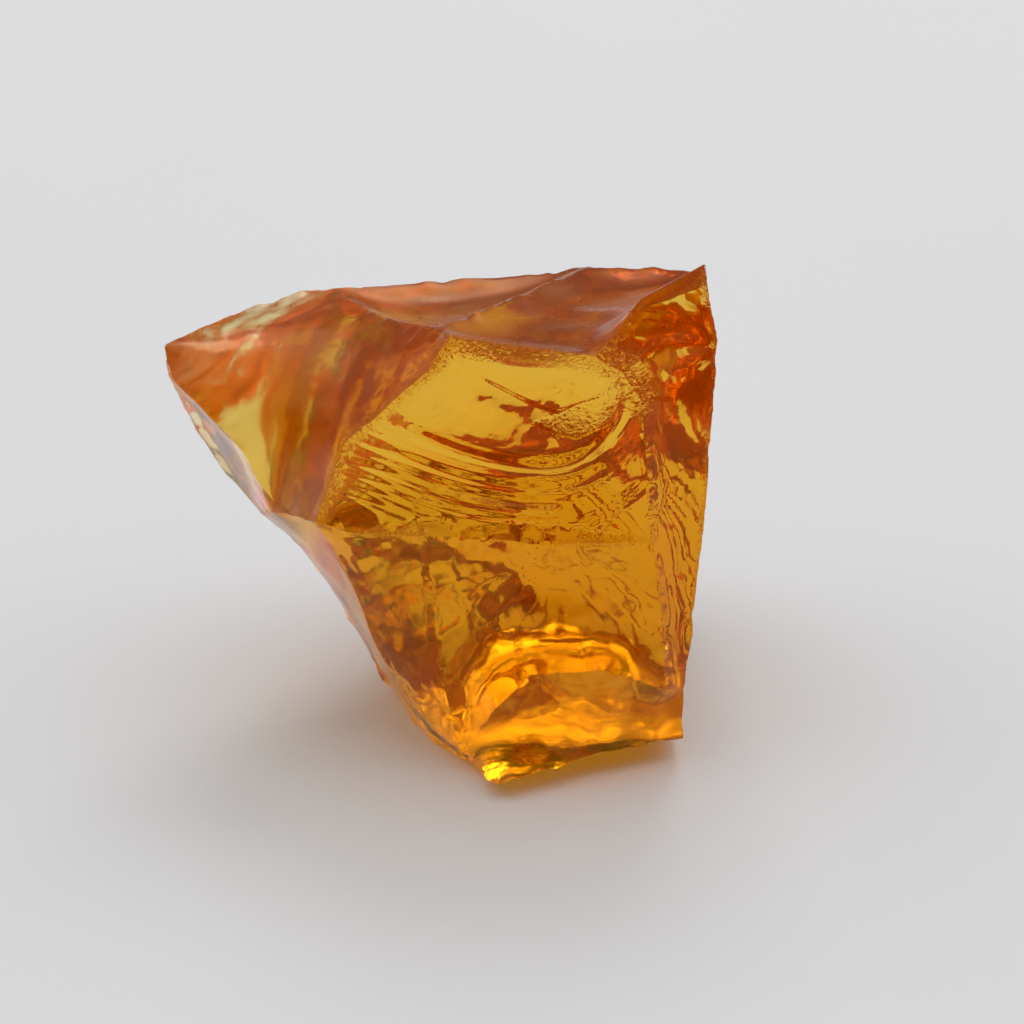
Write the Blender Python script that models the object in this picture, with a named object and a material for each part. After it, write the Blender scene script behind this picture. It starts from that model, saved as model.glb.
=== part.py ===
"""Rough topaz: one broken lump of clear golden crystal, standing on a flat fracture.

The lump is a closed shell of fracture faces. Its corners are set by hand, the ridges between them
are gentle arcs, and each face is a skin stretched over its ridges, pressed in like the shell-shaped
hollow that a blow leaves, with slow waves around the corner where the blow fell. The big front scar
also carries the rings that spread from its blow and the steps of two flakes lost after it.
Sizes are in millimetres until the mesh is made; the origin ends up under the lump's middle.
"""

import math

import bmesh
import bpy
import numpy as np
from mathutils import Vector
from mathutils.geometry import delaunay_2d_cdt

MM = 0.001
NODE_NAME = "rough_topaz"

# Driving sizes of the mesh, in millimetres.
RIDGE_STEP = 1.15      # length of one ridge segment
SKIN_STEP = 1.35       # spacing of the points inside a plain face
SCAR_STEP = 0.52       # spacing inside the ringed front scar
EDGE_CLEARANCE = 0.62  # share of a face's spacing that its inner points keep from the ridges
NICK_DEPTH = 0.10      # how far a ridge wanders where it is nicked
NICK_FADE = 2.0        # the nicks die out this near to a corner
NICK_SEED = 11
WAVE_LENGTH = 5.2      # from crest to crest of the slow waves on a plain face
WAVE_MARGIN = 2.5      # the waves die out this near to the ridges
TINY = 1e-9            # keeps the depth share finite on a face too narrow to hold inner points

# Corners of the lump, in millimetres. +X is to the right, -Y is the front and Z = 0 is the rest plane.
CORNERS = {
    # the horn on the left and the rim that runs along the top
    "tip": (-20.5, 1.0, 29.5),
    "tip_heel": (-19.9, 0.4, 27.0),
    "rim_1": (-18.1, 5.3, 28.6),
    "rim_2": (-14.7, 8.2, 28.7),
    "rim_bend": (-10.6, 9.7, 29.6),
    "rim_left": (-8.0, 10.3, 29.4),
    "rim_mid": (11.5, 11.4, 30.8),
    "rim_right": (16.3, 9.6, 31.6),
    "back_shoulder": (20.1, 8.0, 32.05),
    "peak": (19.4, -3.0, 38.2),
    # the brow over the front scar
    "valley_head": (0.2, -5.0, 34.1),
    "brow_left": (1.0, -7.5, 34.7),
    "brow_mid": (6.0, -9.0, 34.7),
    "brow_right": (11.4, -9.0, 33.8),
    "brow_step": (13.2, -7.0, 34.9),
    "brow_rise": (14.7, -5.5, 36.6),
    "peak_foot": (16.5, -6.8, 33.5),
    # where the cheek meets the front scar, from the brow down
    "cheek_1": (-0.7, -9.0, 32.5),
    "cheek_2": (-3.3, -9.5, 30.3),
    "cheek_3": (-6.8, -9.0, 26.6),
    "cheek_4": (-7.8, -9.0, 23.5),
    "cheek_foot": (-9.0, -8.5, 19.8),
    # the shelf that the front scar runs out on, its lip, and the scar's right side
    "shelf_in": (-1.0, -9.9, 20.9),
    "shelf_mid": (9.0, -10.2, 20.4),
    "lip_left": (-6.8, -9.8, 19.7),
    "lip_in": (-1.0, -10.8, 19.9),
    "lip_mid": (9.0, -11.0, 19.3),
    "lip_right": (15.6, -10.9, 19.6),
    "scar_side": (15.3, -10.1, 25.3),
    "scar_turn": (14.8, -9.0, 30.2),
    "scar_top": (13.4, -9.0, 32.5),
    # the two hollow faces of the left side: their front ridges, then their far ridges
    "hollow_1": (-17.3, -2.2, 25.5),
    "hollow_2": (-14.6, -4.0, 23.3),
    "hollow_3": (-13.2, -4.0, 20.2),
    "cusp": (-12.8, -3.0, 17.6),
    "side_1": (-7.8, -8.5, 17.7),
    "side_2": (-6.4, -8.5, 14.4),
    "side_3": (-4.8, -8.3, 9.0),
    "side_4": (-2.3, -8.0, 3.5),
    "under_0": (-20.2, 3.0, 25.4),
    "under_1": (-19.4, 4.5, 22.0),
    "under_2": (-18.3, 5.0, 19.3),
    "under_3": (-16.5, 5.0, 16.2),
    "under_4": (-14.9, 4.5, 14.3),
    "far_cusp": (-13.9, 4.0, 13.3),
    "rear_0": (-11.8, 4.3, 11.3),
    "rear_1": (-10.3, 4.0, 9.4),
    "rear_2": (-8.1, 3.0, 6.3),
    "rear_3": (-6.0, 1.0, 3.4),
    "rear_4": (-3.9, -2.0, 1.3),
    "rear_5": (-2.2, -5.0, 0.4),
    # the lower front and its foot
    "front_1": (-0.4, -11.0, 14.6),
    "front_2": (-0.1, -11.5, 9.6),
    "turn_low": (16.4, -11.1, 14.0),
    "foot_left": (1.6, -11.9, 1.7),
    "foot_1": (4.3, -13.9, 7.0),
    "foot_2": (6.8, -13.5, 9.6),
    "foot_3": (12.0, -13.1, 9.8),
    "foot_4": (16.9, -11.5, 7.1),
    # the right edge, from the shoulder down
    "right_1": (20.4, -5.0, 33.0),
    "right_2": (20.1, -7.0, 28.3),
    "right_3": (19.6, -8.4, 19.9),
    "right_4": (18.8, -9.7, 10.2),
    "right_5": (18.3, -10.0, 6.1),
    # the flat that it stands on, and the lifted edge in front of it
    "base_toe": (3.7, -14.7, 1.1),
    "base_front": (4.5, -15.9, 1.5),
    "base_edge": (12.0, -12.5, 2.1),
    "base_right": (18.3, -10.3, 2.0),
    "base_side": (17.6, -3.0, 0.0),
    "base_back_right": (17.4, 11.2, 0.0),
    "base_back": (7.5, 15.5, 0.0),
    "base_rear": (-2.2, 5.5, 0.0),
    "base_left": (-0.7, -7.6, 0.0),
    "base_chip": (2.1, -10.9, 0.4),
    # the middle of the back
    "knee": (-5.5, 13.0, 15.5),
    "heel": (5.5, 16.0, 7.5),
    "spine": (8.0, 15.5, 15.0),
    "flank": (19.2, 14.5, 14.0),
}

# How far the middle of a ridge bows away from the straight line, in millimetres.
BOWS = {
    ("rim_left", "valley_head"): (-0.6, 0.5, -0.9),
    ("rim_left", "rim_mid"): (0.0, 0.0, -0.2),
    ("rim_mid", "spine"): (0.3, -0.7, 0.0),
    ("knee", "rim_left"): (0.0, 0.6, 0.0),
    ("heel", "spine"): (-0.4, 0.5, 0.0),
}

# The fracture faces. Each has its ring of corners, counter-clockwise seen from outside, how deep it
# is pressed in (below 0 it swells), the corner that the blow fell on, and the height of its waves.
FACES = {
    "cheek": (
        ["tip", "tip_heel", "hollow_1", "hollow_2", "hollow_3", "cusp", "cheek_foot", "cheek_4", "cheek_3",
         "cheek_2", "cheek_1", "brow_left", "valley_head", "rim_left", "rim_bend", "rim_2", "rim_1"],
        -0.6, "tip", 0.05),
    "top_left": (["rim_left", "valley_head", "rim_mid"], 1.3, "rim_left", 0.04),
    "top_right": (
        ["valley_head", "brow_left", "brow_mid", "brow_right", "brow_step", "brow_rise", "peak",
         "back_shoulder", "rim_right", "rim_mid"], 1.4, "brow_mid", 0.10),
    "peak_face": (
        ["brow_right", "scar_top", "peak_foot", "right_1", "peak", "brow_rise", "brow_step"],
        0.2, "peak", 0.08),
    "front_scar": (
        ["cheek_foot", "lip_left", "shelf_in", "shelf_mid", "lip_right", "scar_side", "scar_turn",
         "scar_top", "brow_right", "brow_mid", "brow_left", "cheek_1", "cheek_2", "cheek_3", "cheek_4"],
        1.5, "brow_mid", 0.0),
    "shelf": (["lip_left", "lip_in", "lip_mid", "lip_right", "shelf_mid", "shelf_in"], 0.0, "lip_in", 0.0),
    "front_right": (
        ["scar_top", "scar_turn", "scar_side", "lip_right", "turn_low", "foot_4", "right_5", "right_4",
         "right_3", "right_2", "right_1", "peak_foot"], 0.2, "right_2", 0.06),
    "lower_left": (
        ["cheek_foot", "side_1", "side_2", "side_3", "side_4", "base_left", "base_chip", "foot_left",
         "front_2", "front_1", "lip_in", "lip_left"], -0.3, "lip_in", 0.10),
    "lower_front": (
        ["lip_in", "front_1", "front_2", "foot_left", "foot_1", "foot_2", "foot_3", "foot_4", "turn_low",
         "lip_right", "lip_mid"], 0.5, "lip_mid", 0.10),
    "foot": (
        ["foot_left", "base_chip", "base_toe", "base_front", "base_edge", "base_right", "right_5",
         "foot_4", "foot_3", "foot_2", "foot_1"], 0.1, "foot_2", 0.10),
    "hollow_upper": (
        ["tip", "under_0", "under_1", "under_2", "under_3", "under_4", "far_cusp", "cusp", "hollow_3",
         "hollow_2", "hollow_1", "tip_heel"], 0.3, "cusp", 0.06),
    "hollow_lower": (
        ["cusp", "far_cusp", "rear_0", "rear_1", "rear_2", "rear_3", "rear_4", "rear_5", "base_left",
         "side_4", "side_3", "side_2", "side_1", "cheek_foot"], 0.3, "cusp", 0.06),
    "back_horn": (
        ["tip", "rim_1", "rim_2", "rim_bend", "rim_left", "knee", "far_cusp", "under_4", "under_3",
         "under_2", "under_1", "under_0"], 0.9, "rim_left", 0.07),
    "back_low": (
        ["far_cusp", "knee", "base_rear", "base_left", "rear_5", "rear_4", "rear_3", "rear_2", "rear_1",
         "rear_0"], 0.5, "knee", 0.10),
    "back_shell": (["rim_left", "rim_mid", "spine", "heel", "knee"], 0.5, "rim_mid", 0.10),
    "back_foot": (["knee", "heel", "base_back", "base_rear"], 0.6, "heel", 0.06),
    "back_right": (["rim_mid", "rim_right", "back_shoulder", "flank", "spine"], 0.8, "rim_right", 0.08),
    "back_right_low": (["heel", "spine", "flank", "base_back_right", "base_back"], -0.5, "flank", 0.10),
    "right": (
        ["peak", "right_1", "right_2", "right_3", "right_4", "right_5", "base_right", "base_side",
         "base_back_right", "flank", "back_shoulder"], 0.2, "peak", 0.05),
    "under_front": (
        ["base_edge", "base_front", "base_toe", "base_chip", "base_left", "base_side", "base_right"],
        0.3, "base_edge", 0.08),
    "base": (
        ["base_left", "base_rear", "base_back", "base_back_right", "base_side"], 0.0, "base_back", 0.0),
}

# The blow that took the front scar off, and the rings that spread from it, in millimetres. The scar
# lies nearly upright, so places on it are told by X and Z alone.
BLOW = (7.8, 33.0)
LEFT_STRETCH = 1.22    # rings reach further to the left than down
STRETCH_GAIN = 0.028   # and each millimetre of radius stretches them more
RIGHT_STRETCH = 0.74
RINGS = [              # (radius, half width, height)
    (8.6, 0.50, 0.26),
    (10.2, 0.36, 0.15),
    (11.5, 0.42, 0.22),
    (12.6, 0.34, 0.18),
]
FLAKES = [             # (middle X, middle Z, half width, half height, depth at the edge, extra inside)
    (7.4, 33.4, 6.2, 5.3, 0.14, 0.35),
    (9.2, 31.0, 4.3, 5.1, 0.16, 0.30),
]


def corner(name):
    return np.array(CORNERS[name], float)


def ridge(start, end, ridges, random):
    """Points along the ridge from one corner to the next, both ends included. Both faces share them."""
    if (end, start) in ridges:
        return ridges[end, start][::-1]
    if (start, end) not in ridges:
        a, b = corner(start), corner(end)
        bow = np.array(BOWS.get((start, end), BOWS.get((end, start), (0.0, 0.0, 0.0))))
        length = np.linalg.norm(b - a)
        t = np.linspace(0.0, 1.0, max(1, round(length / RIDGE_STEP)) + 1)[:, None]
        nicks = random.uniform(-NICK_DEPTH, NICK_DEPTH, (len(t), 3))
        nicks *= np.clip(np.minimum(t, 1.0 - t) * length / NICK_FADE, 0.0, 1.0)
        if a[2] == 0.0 and b[2] == 0.0:
            nicks[:, 2] = 0.0
        ridges[start, end] = a + (b - a) * t + bow * 4.0 * t * (1.0 - t) + nicks
    return ridges[start, end]


def face_frame(rim):
    """Centre, two axes in the plane that fits the rim best, and its outward normal (Newell's method)."""
    after = np.roll(rim, -1, axis=0)
    normal = np.cross(rim, after).sum(axis=0)
    normal /= np.linalg.norm(normal)
    across = np.cross((0.0, 0.0, 1.0), normal)
    if np.linalg.norm(across) < 0.1:
        across = np.array((1.0, 0.0, 0.0))
    across /= np.linalg.norm(across)
    return rim.mean(axis=0), across, np.cross(normal, across), normal


def mean_value_weights(points, rim):
    """Weight of each rim point at each inner point; their sum is 2 over the smooth distance to the rim."""
    arms = rim[None, :, :] - points[:, None, :]
    lengths = np.linalg.norm(arms, axis=2)
    following = np.roll(arms, -1, axis=1)
    turn = np.arctan2(
        arms[:, :, 0] * following[:, :, 1] - arms[:, :, 1] * following[:, :, 0],
        (arms * following).sum(axis=2),
    )
    half = np.tan(turn / 2.0)
    return (half + np.roll(half, 1, axis=1)) / lengths


def inside(points, rim):
    """True for the points that lie inside the rim, by crossings of a ray along the first axis."""
    x, y = points[:, 0:1], points[:, 1:2]
    x0, y0 = rim[:, 0], rim[:, 1]
    x1, y1 = np.roll(x0, -1), np.roll(y0, -1)
    crosses = (y0 > y) != (y1 > y)
    with np.errstate(divide="ignore", invalid="ignore"):
        at = x0 + (y - y0) / (y1 - y0) * (x1 - x0)
    return (np.where(crosses, x < at, False).sum(axis=1) % 2) == 1


def inner_points(rim, step):
    """A triangular grid of points inside the rim that keeps clear of it."""
    low, high = rim.min(axis=0), rim.max(axis=0)
    columns = np.arange(low[0], high[0], step)
    rows = np.arange(low[1], high[1], step * math.sqrt(0.75))
    x, y = np.meshgrid(columns, rows)
    x[1::2] += step / 2.0
    points = np.column_stack([x.ravel(), y.ravel()])
    points = points[inside(points, rim)]
    along = np.roll(rim, -1, axis=0) - rim
    t = ((points[:, None, :] - rim) * along).sum(axis=2) / (along ** 2).sum(axis=1)
    nearest = rim + np.clip(t, 0.0, 1.0)[:, :, None] * along
    gap = np.linalg.norm(points[:, None, :] - nearest, axis=2).min(axis=1)
    return points[gap > EDGE_CLEARANCE * step]


def scar_relief(places):
    """How far the rings and the lost flakes lift the front scar's surface, in millimetres."""
    x, z = places[:, 0] - BLOW[0], places[:, 2] - BLOW[1]
    left = LEFT_STRETCH + STRETCH_GAIN * np.hypot(x, z)
    reach = np.hypot(x / np.where(x < 0.0, left, RIGHT_STRETCH), z)
    relief = np.zeros(len(places))
    for radius, width, height in RINGS:
        relief += height * np.exp(-(((reach - radius) / width) ** 2))
    for x, z, half_width, half_height, step, bowl in FLAKES:
        from_edge = 1.0 - ((places[:, 0] - x) / half_width) ** 2 - ((places[:, 2] - z) / half_height) ** 2
        relief -= np.clip(from_edge * 8.0, 0.0, 1.0) * step + np.clip(from_edge, 0.0, 1.0) * bowl
    return relief


def wave_relief(places, blow, height):
    """Slow waves around the corner that the blow fell on."""
    reach = np.linalg.norm(places - corner(blow), axis=1)
    return height * np.sin(reach * math.tau / WAVE_LENGTH)


def fracture_face(name, ridges, random):
    """(points, triangles) of one face: its rim first, then the inner points."""
    ring, hollow, blow, wave_height = FACES[name]
    spans = [ridge(a, b, ridges, random)[:-1] for a, b in zip(ring, ring[1:] + ring[:1])]
    rim = np.vstack(spans)
    centre, across, up, normal = face_frame(rim)
    flat_rim = np.column_stack([(rim - centre) @ across, (rim - centre) @ up])
    flat = inner_points(flat_rim, SCAR_STEP if name == "front_scar" else SKIN_STEP)
    weights = mean_value_weights(flat, flat_rim)
    total = weights.sum(axis=1)
    height = (weights @ ((rim - centre) @ normal)) / total
    distance = 2.0 / total
    share = distance / distance.max(initial=TINY)
    height -= hollow * share ** 2 * (3.0 - 2.0 * share)
    places = centre + flat[:, :1] * across + flat[:, 1:] * up + height[:, None] * normal
    relief = wave_relief(places, blow, wave_height) * np.clip(distance / WAVE_MARGIN, 0.0, 1.0)
    if name == "front_scar":
        relief += scar_relief(places) * np.clip(distance, 0.0, 1.0)
    places += relief[:, None] * normal
    flat_all = np.vstack([flat_rim, flat])
    outline = [(i, (i + 1) % len(rim)) for i in range(len(rim))]
    made = delaunay_2d_cdt([Vector(p) for p in flat_all], outline, [], 1, 1e-7, True)
    if len(made[0]) != len(flat_all):
        raise ValueError(f"the ridges of {name} cross each other")
    triangles = np.array(made[2])
    middles = flat_all[triangles].mean(axis=1)
    return np.vstack([rim, places]), triangles[inside(middles, flat_rim)]


def build_stone():
    random = np.random.default_rng(NICK_SEED)
    ridges = {}
    mesh = bmesh.new()
    for name in FACES:
        points, triangles = fracture_face(name, ridges, random)
        verts = [mesh.verts.new(Vector(p) * MM) for p in points]
        for triangle in triangles:
            mesh.faces.new([verts[i] for i in triangle])
    bmesh.ops.remove_doubles(mesh, verts=mesh.verts, dist=1e-6)
    bmesh.ops.recalc_face_normals(mesh, faces=mesh.faces)
    return mesh


def stand_over_origin(mesh):
    """Moves the stone so that the middle of its base box is the origin."""
    places = np.array([v.co for v in mesh.verts])
    low, high = places.min(axis=0), places.max(axis=0)
    shift = Vector(((low[0] + high[0]) / -2.0, (low[1] + high[1]) / -2.0, -low[2]))
    bmesh.ops.translate(mesh, verts=mesh.verts, vec=shift)
    print("moved by", [round(x / MM, 3) for x in shift], "mm")


def golden_topaz():
    material = bpy.data.materials.new("golden_topaz")
    material.use_nodes = True
    shader = material.node_tree.nodes["Principled BSDF"]
    shader.inputs["Base Color"].default_value = (0.80, 0.36, 0.03, 1.0)
    shader.inputs["Roughness"].default_value = 0.05
    shader.inputs["Metallic"].default_value = 0.0
    shader.inputs["IOR"].default_value = 1.62
    return material


def main():
    for old in list(bpy.data.objects):
        bpy.data.objects.remove(old, do_unlink=True)
    stone = build_stone()
    stand_over_origin(stone)
    data = bpy.data.meshes.new(NODE_NAME)
    stone.to_mesh(data)
    stone.free()
    data.materials.append(golden_topaz())
    data.shade_smooth()
    data.set_sharp_from_angle(angle=math.radians(24.0))
    node = bpy.data.objects.new(NODE_NAME, data)
    bpy.context.scene.collection.objects.link(node)
    print(NODE_NAME, len(data.polygons), "triangles")


main()
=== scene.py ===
# %% [markdown]
# # Rough topaz
# A rough topaz is a lump knocked off a larger crystal. Its whole outside is broken surface: every face is
# one break, shaped like the inside of a shell, with rings around the spot where the blow landed.
# The stone could be sculpted or carved with booleans. Here it is rebuilt face by face from named corners,
# because then every ring and ripple can be told where its blow fell.
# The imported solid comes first, and stays the ruler for everything that follows.

import math

import bpy
import numpy as np
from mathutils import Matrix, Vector
from mathutils.geometry import delaunay_2d_cdt
from mathutils.kdtree import KDTree


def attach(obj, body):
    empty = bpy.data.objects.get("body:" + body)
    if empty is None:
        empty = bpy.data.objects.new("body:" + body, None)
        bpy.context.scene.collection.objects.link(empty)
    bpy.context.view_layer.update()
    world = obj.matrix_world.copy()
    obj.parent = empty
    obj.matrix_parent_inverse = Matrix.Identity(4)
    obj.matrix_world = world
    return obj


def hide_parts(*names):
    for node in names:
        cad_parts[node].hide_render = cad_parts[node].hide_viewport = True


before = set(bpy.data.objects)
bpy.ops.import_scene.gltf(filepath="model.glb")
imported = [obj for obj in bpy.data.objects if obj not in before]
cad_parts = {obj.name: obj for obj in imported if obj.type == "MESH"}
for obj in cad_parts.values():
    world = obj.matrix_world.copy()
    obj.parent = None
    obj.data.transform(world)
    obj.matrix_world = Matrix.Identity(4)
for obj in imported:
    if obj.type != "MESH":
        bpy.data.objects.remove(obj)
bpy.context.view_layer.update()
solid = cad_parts["rough_topaz"]

# %% [markdown]
# ## Where the eye stands
# A small stone is looked down on from about 30 degrees, through a long lens, so that its upright edges
# stay nearly parallel. A short lens close by would swell the near corner. The camera is made first,
# because every later choice is judged through it.

# %% The camera
MM = 0.001
LOOK_AT = Vector((5.5, -0.18, 15.7)) * MM
LOOK_DOWN = math.radians(30.0)
DISTANCE = 0.330
SENSOR = 36.0
FRAME_WIDTH = 77.6 * MM    # what the picture spans at the stone


def aim(thing, place, target):
    """Puts a camera or a light at a place and turns it to look at the target."""
    thing.location = place
    thing.rotation_euler = (Vector(target) - Vector(place)).to_track_quat("-Z", "Y").to_euler()


camera_data = bpy.data.cameras.new("camera")
camera_data.sensor_width = SENSOR
camera_data.lens = SENSOR * DISTANCE / FRAME_WIDTH
camera_data.clip_start = 0.01
camera = bpy.data.objects.new("camera", camera_data)
bpy.context.scene.collection.objects.link(camera)
bpy.context.scene.camera = camera
away = Vector((0.0, -math.cos(LOOK_DOWN), math.sin(LOOK_DOWN)))
aim(camera, LOOK_AT + away * DISTANCE, LOOK_AT)
print("lens", round(camera_data.lens, 1), "mm")

# %% [markdown]
# ## The corners
# A break meets its neighbours along ridges, and ridges meet in corners. Some eighty corners fix the
# whole form: the horn on the left, the long rim behind the top, the brow over the big front scar, the shelf
# that the scar runs out on, the foot, and the peak at the right. They are the solid's own corners, in
# millimetres, and each one is snapped to the nearest vertex of the solid, so that nothing can drift.

# %% Corners in millimetres
STAND = np.array((0.05, -0.182, 0))   # how far the solid was moved to stand over the origin
CORNERS = {
    # the horn on the left and the rim that runs along the top
    "tip": (-20.5, 1.0, 29.5),
    "tip_heel": (-19.9, 0.4, 27.0),
    "rim_1": (-18.1, 5.3, 28.6),
    "rim_2": (-14.7, 8.2, 28.7),
    "rim_bend": (-10.6, 9.7, 29.6),
    "rim_left": (-8.0, 10.3, 29.4),
    "rim_mid": (11.5, 11.4, 30.8),
    "rim_right": (16.3, 9.6, 31.6),
    "back_shoulder": (20.1, 8.0, 32.05),
    "peak": (19.4, -3.0, 38.2),
    # the brow over the front scar
    "valley_head": (0.2, -5.0, 34.1),
    "brow_left": (1.0, -7.5, 34.7),
    "brow_mid": (6.0, -9.0, 34.7),
    "brow_right": (11.4, -9.0, 33.8),
    "brow_step": (13.2, -7.0, 34.9),
    "brow_rise": (14.7, -5.5, 36.6),
    "peak_foot": (16.5, -6.8, 33.5),
    # where the cheek meets the front scar, from the brow down
    "cheek_1": (-0.7, -9.0, 32.5),
    "cheek_2": (-3.3, -9.5, 30.3),
    "cheek_3": (-6.8, -9.0, 26.6),
    "cheek_4": (-7.8, -9.0, 23.5),
    "cheek_foot": (-9.0, -8.5, 19.8),
    # the shelf that the front scar runs out on, its lip, and the scar's right side
    "shelf_in": (-1.0, -9.9, 20.9),
    "shelf_mid": (9.0, -10.2, 20.4),
    "lip_left": (-6.8, -9.8, 19.7),
    "lip_in": (-1.0, -10.8, 19.9),
    "lip_mid": (9.0, -11.0, 19.3),
    "lip_right": (15.6, -10.9, 19.6),
    "scar_side": (15.3, -10.1, 25.3),
    "scar_turn": (14.8, -9.0, 30.2),
    "scar_top": (13.4, -9.0, 32.5),
    # the two hollow faces of the left side: their front ridges, then their far ridges
    "hollow_1": (-17.3, -2.2, 25.5),
    "hollow_2": (-14.6, -4.0, 23.3),
    "hollow_3": (-13.2, -4.0, 20.2),
    "cusp": (-12.8, -3.0, 17.6),
    "side_1": (-7.8, -8.5, 17.7),
    "side_2": (-6.4, -8.5, 14.4),
    "side_3": (-4.8, -8.3, 9.0),
    "side_4": (-2.3, -8.0, 3.5),
    "under_0": (-20.2, 3.0, 25.4),
    "under_1": (-19.4, 4.5, 22.0),
    "under_2": (-18.3, 5.0, 19.3),
    "under_3": (-16.5, 5.0, 16.2),
    "under_4": (-14.9, 4.5, 14.3),
    "far_cusp": (-13.9, 4.0, 13.3),
    "rear_0": (-11.8, 4.3, 11.3),
    "rear_1": (-10.3, 4.0, 9.4),
    "rear_2": (-8.1, 3.0, 6.3),
    "rear_3": (-6.0, 1.0, 3.4),
    "rear_4": (-3.9, -2.0, 1.3),
    "rear_5": (-2.2, -5.0, 0.4),
    # the lower front and its foot
    "front_1": (-0.4, -11.0, 14.6),
    "front_2": (-0.1, -11.5, 9.6),
    "turn_low": (16.4, -11.1, 14.0),
    "foot_left": (1.6, -11.9, 1.7),
    "foot_1": (4.3, -13.9, 7.0),
    "foot_2": (6.8, -13.5, 9.6),
    "foot_3": (12.0, -13.1, 9.8),
    "foot_4": (16.9, -11.5, 7.1),
    # the right edge, from the shoulder down
    "right_1": (20.4, -5.0, 33.0),
    "right_2": (20.1, -7.0, 28.3),
    "right_3": (19.6, -8.4, 19.9),
    "right_4": (18.8, -9.7, 10.2),
    "right_5": (18.3, -10.0, 6.1),
    # the flat that it stands on, and the lifted edge in front of it
    "base_toe": (3.7, -14.7, 1.1),
    "base_front": (4.5, -15.9, 1.5),
    "base_edge": (12.0, -12.5, 2.1),
    "base_right": (18.3, -10.3, 2.0),
    "base_side": (17.6, -3.0, 0.0),
    "base_back_right": (17.4, 11.2, 0.0),
    "base_back": (7.5, 15.5, 0.0),
    "base_rear": (-2.2, 5.5, 0.0),
    "base_left": (-0.7, -7.6, 0.0),
    "base_chip": (2.1, -10.9, 0.4),
    # the middle of the back
    "knee": (-5.5, 13.0, 15.5),
    "heel": (5.5, 16.0, 7.5),
    "spine": (8.0, 15.5, 15.0),
    "flank": (19.2, 14.5, 14.0),
}


def merged_points(node):
    """The node's vertices in millimetres, each place once."""
    places = np.empty(len(node.data.vertices) * 3)
    node.data.vertices.foreach_get("co", places)
    return np.unique(np.round(places.reshape(-1, 3) / MM, 4), axis=0)


solid_points = merged_points(solid)
nearest_solid = KDTree(len(solid_points))
for i, place in enumerate(solid_points):
    nearest_solid.insert(place, i)
nearest_solid.balance()


def snapped(place):
    """The solid's vertex nearest to a place, and how far it was away."""
    found, _, gap = nearest_solid.find(place)
    return np.array(found), gap


gaps = []
for name, place in CORNERS.items():
    CORNERS[name], gap = snapped(np.array(place) + STAND)
    gaps.append(gap)
print(len(CORNERS), "corners, the furthest snapped over", round(max(gaps), 3), "mm")

# %% [markdown]
# ## The ridges
# Where two breaks cut each other the edge is sharp, never quite straight, and nicked. Each ridge is a
# gentle arc with the solid's own slow nicks. A smooth curve is then run through those points and cut
# finer, and the edge gets small bites where splinters have sprung off.

# %% Ridges that both neighbours share
RIDGE_STEP = 1.15      # the solid's own step along a ridge
RIDGE_CUTS = 5         # how many fine steps go into each of those
NICK_DEPTH = 0.10      # how far a ridge wanders where it is nicked
NICK_FADE = 2.0        # the nicks die out this near to a corner
NICK_SEED = 11
BITE_SEED = 5
BITE_GAP = 2.2         # about how far it is from one bite to the next
BITE_LENGTH = (0.35, 1.3)
BITE_DEPTH = 0.11      # the deepest bite
GRAIN = 0.012          # the finest unevenness of an edge, where it is bitten
CALM_GRAIN = 0.3       # and the share of it that is left between the bites
HEART = np.array((4.5, 0.8, 16.4))      # the stone's middle, which bites are taken towards
BOWS = {               # how far the middle of a ridge bows out, where it is not straight
    ("rim_left", "valley_head"): (-0.6, 0.5, -0.9),
    ("rim_left", "rim_mid"): (0.0, 0.0, -0.2),
    ("rim_mid", "spine"): (0.3, -0.7, 0.0),
    ("knee", "rim_left"): (0.0, 0.6, 0.0),
    ("heel", "spine"): (-0.4, 0.5, 0.0),
}
slow_nicks = np.random.default_rng(NICK_SEED)
bites = np.random.default_rng(BITE_SEED)
ridges = {}


def smooth_curve(points, cuts):
    """A Catmull-Rom curve through the points, with so many steps between each pair."""
    if len(points) < 3:
        t = np.linspace(0.0, 1.0, cuts + 1)[:, None]
        return points[0] + (points[1] - points[0]) * t
    ends = np.vstack([2 * points[0] - points[1], points, 2 * points[-1] - points[-2]])
    pieces = []
    for a, b, c, d in zip(ends, ends[1:], ends[2:], ends[3:]):
        t = np.linspace(0.0, 1.0, cuts + 1)[:-1, None]
        pieces.append(0.5 * (2 * b + (c - a) * t + (2 * a - 5 * b + 4 * c - d) * t ** 2
                             + (3 * b - a - 3 * c + d) * t ** 3))
    return np.vstack([*pieces, points[-1:]])


def bitten(line, on_floor):
    """The same fine points with small bites taken out of them, towards the stone's middle."""
    along = np.concatenate([[0.0], np.cumsum(np.linalg.norm(np.diff(line, axis=0), axis=1))])
    depth = np.zeros(len(line))
    for _ in range(int(along[-1] / BITE_GAP)):
        middle = bites.uniform(0.0, along[-1])
        half = 0.5 * bites.uniform(*BITE_LENGTH)
        deep = BITE_DEPTH * bites.uniform(0.2, 1.0)
        bowl = np.clip(1.0 - ((along - middle) / half) ** 2, 0.0, 1.0)
        depth = np.maximum(depth, deep * np.sqrt(bowl))
    depth *= np.clip(np.minimum(along, along[-1] - along) / BITE_LENGTH[1], 0.0, 1.0)
    inward = HEART - line
    if on_floor:
        inward[:, 2] = 0.0
    inward /= np.linalg.norm(inward, axis=1)[:, None]
    unevenness = np.where(depth > 0.0, 1.0, CALM_GRAIN)[:, None]
    shift = inward * depth[:, None] + bites.uniform(-GRAIN, GRAIN, line.shape) * unevenness
    shift[[0, -1]] = 0.0
    if on_floor:
        shift[:, 2] = 0.0
    return line + shift


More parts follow.
